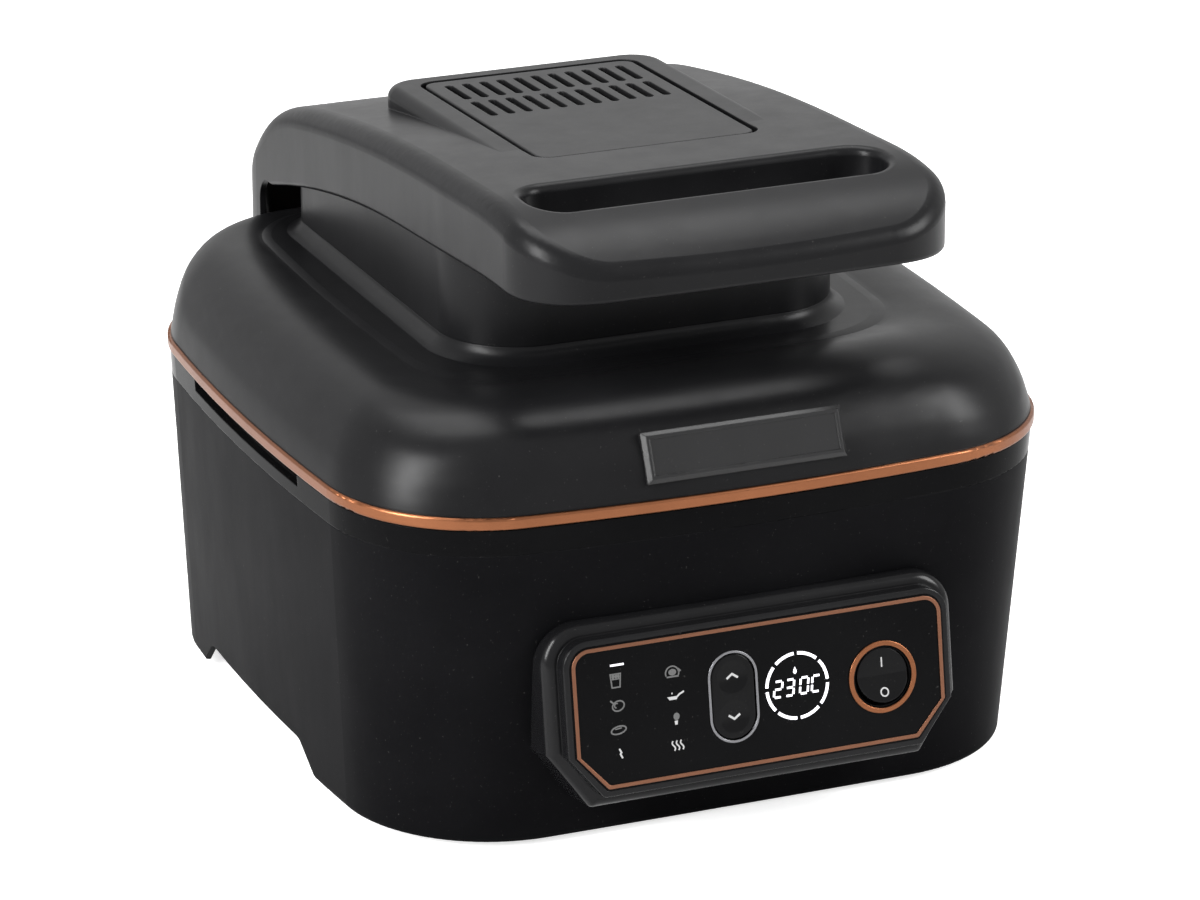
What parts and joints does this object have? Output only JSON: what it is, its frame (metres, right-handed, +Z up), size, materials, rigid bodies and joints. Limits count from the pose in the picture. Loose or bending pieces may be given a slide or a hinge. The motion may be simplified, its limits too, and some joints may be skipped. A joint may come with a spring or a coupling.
{
  "type": "air fryer grill",
  "caption": "Countertop air fryer grill with a hinged lid that carries a handle, fan and heater, a lift-out pot over a hot plate, and a leaning front control console.",
  "frame": {"origin": "centre of the footprint, on the surface that the feet stand on", "axes": "+Z up, -Y towards the front with the console, +X to the right of someone facing the front"},
  "size_m": [0.3316, 0.3846, 0.2755],
  "materials": {
    "body_black": "satin moulded plastic, fine texture",
    "gloss_black": "polished moulded plastic",
    "copper_trim": "satin copper plating",
    "panel_glass": "polished black acrylic with printed marks",
    "silver_line": "thin bright line",
    "key_black": "polished key",
    "display": "light module behind the panel",
    "lamp_guide": "milky light guide",
    "circuit": "laminate circuit board",
    "nonstick": "dark non-stick coating on aluminium",
    "bare_steel": "bare sheet steel",
    "cast_plate": "cast aluminium",
    "heater_tube": "heat-tinted steel tube",
    "spring_steel": "spring wire",
    "rubber_black": "soft black rubber",
    "silicone": "grey silicone",
    "wool": "pressed mineral wool",
    "motor_can": "zinc-plated motor can",
    "screw_steel": "zinc-plated screws",
    "badge": "bare bevelled plate"
  },
  "bodies": {
    "base": {"base_shell": "body_black", "rim_band": "gloss_black", "cavity_liner": "bare_steel", "hot_plate": "cast_plate", "plate_element": "heater_tube", "sensor_bracket": "bare_steel", "sensor_spring": "spring_steel", "cooking_pot": "nonstick", "pot_grips": "gloss_black", "crisping_rack": "nonstick", "rack_feet": "silicone", "bottom_plate": "body_black", "rubber_feet": "rubber_black", "bottom_screws": "screw_steel", "cord_gland": "rubber_black", "hinge_bracket": "body_black", "hinge_screws": "screw_steel", "hinge_pin": "spring_steel", "control_bezel": "gloss_black", "control_glass": "panel_glass", "panel_trim": "copper_trim", "key_outline": "silver_line", "key_bracket": "body_black", "display_module": "display", "icon_lamps": "lamp_guide", "control_board": "circuit", "power_board": "circuit", "switch_ring": "copper_trim", "switch_body": "gloss_black"},
    "lid": {"lid_shell": "body_black", "lid_trim_ring": "copper_trim", "lid_gasket": "silicone", "badge_plate": "badge", "heat_shield": "bare_steel", "shield_screws": "screw_steel", "lid_insulation": "wool", "heating_element": "heater_tube", "element_clips": "bare_steel", "splatter_guard": "bare_steel", "tower_skirt": "body_black", "top_cover": "body_black", "skirt_screws": "screw_steel", "vent_plate": "body_black", "handle_underside": "body_black", "lid_hinge_arms": "body_black", "motor_bracket": "bare_steel", "fan_motor": "motor_can"},
    "fan_rotor": {"motor_shaft": "spring_steel", "convection_fan": "bare_steel", "cooling_fan": "lamp_guide", "fan_nut": "screw_steel"},
    "sensor": {"sensor_cap": "cast_plate"},
    "key": {"adjust_key": "key_black"},
    "rocker": {"power_rocker": "key_black"}
  },
  "joints": [
    {"name": "lid_hinge", "type": "hinge", "parent": "base", "child": "lid", "pos_m": [0, 0.1772, 0.1425], "axis": [-1, 0, 0], "range_deg": [0, 80]},
    {"name": "fan_spin", "type": "hinge", "parent": "lid", "child": "fan_rotor", "pos_m": [0, -0.0048, 0.16], "axis": [0, 0, 1], "continuous": true},
    {"name": "power_switch", "type": "hinge", "parent": "base", "child": "rocker", "pos_m": [0.0562, -0.18118, 0.06345], "axis": [1, 0, 0], "range_deg": [0, 14]},
    {"name": "adjust_press", "type": "hinge", "parent": "base", "child": "key", "pos_m": [-0.0126, -0.18088, 0.06533], "axis": [1, 0, 0], "range_deg": [-3, 3], "stiffness_Nm_per_rad": 0.4},
    {"name": "pot_sensor", "type": "slide", "parent": "base", "child": "sensor", "axis": [0, 0, 1], "range_m": [-0.0025, 0], "stiffness_N_per_m": 300, "springref_m": 0.003, "deforming": ["sensor_spring"]}
  ]
}
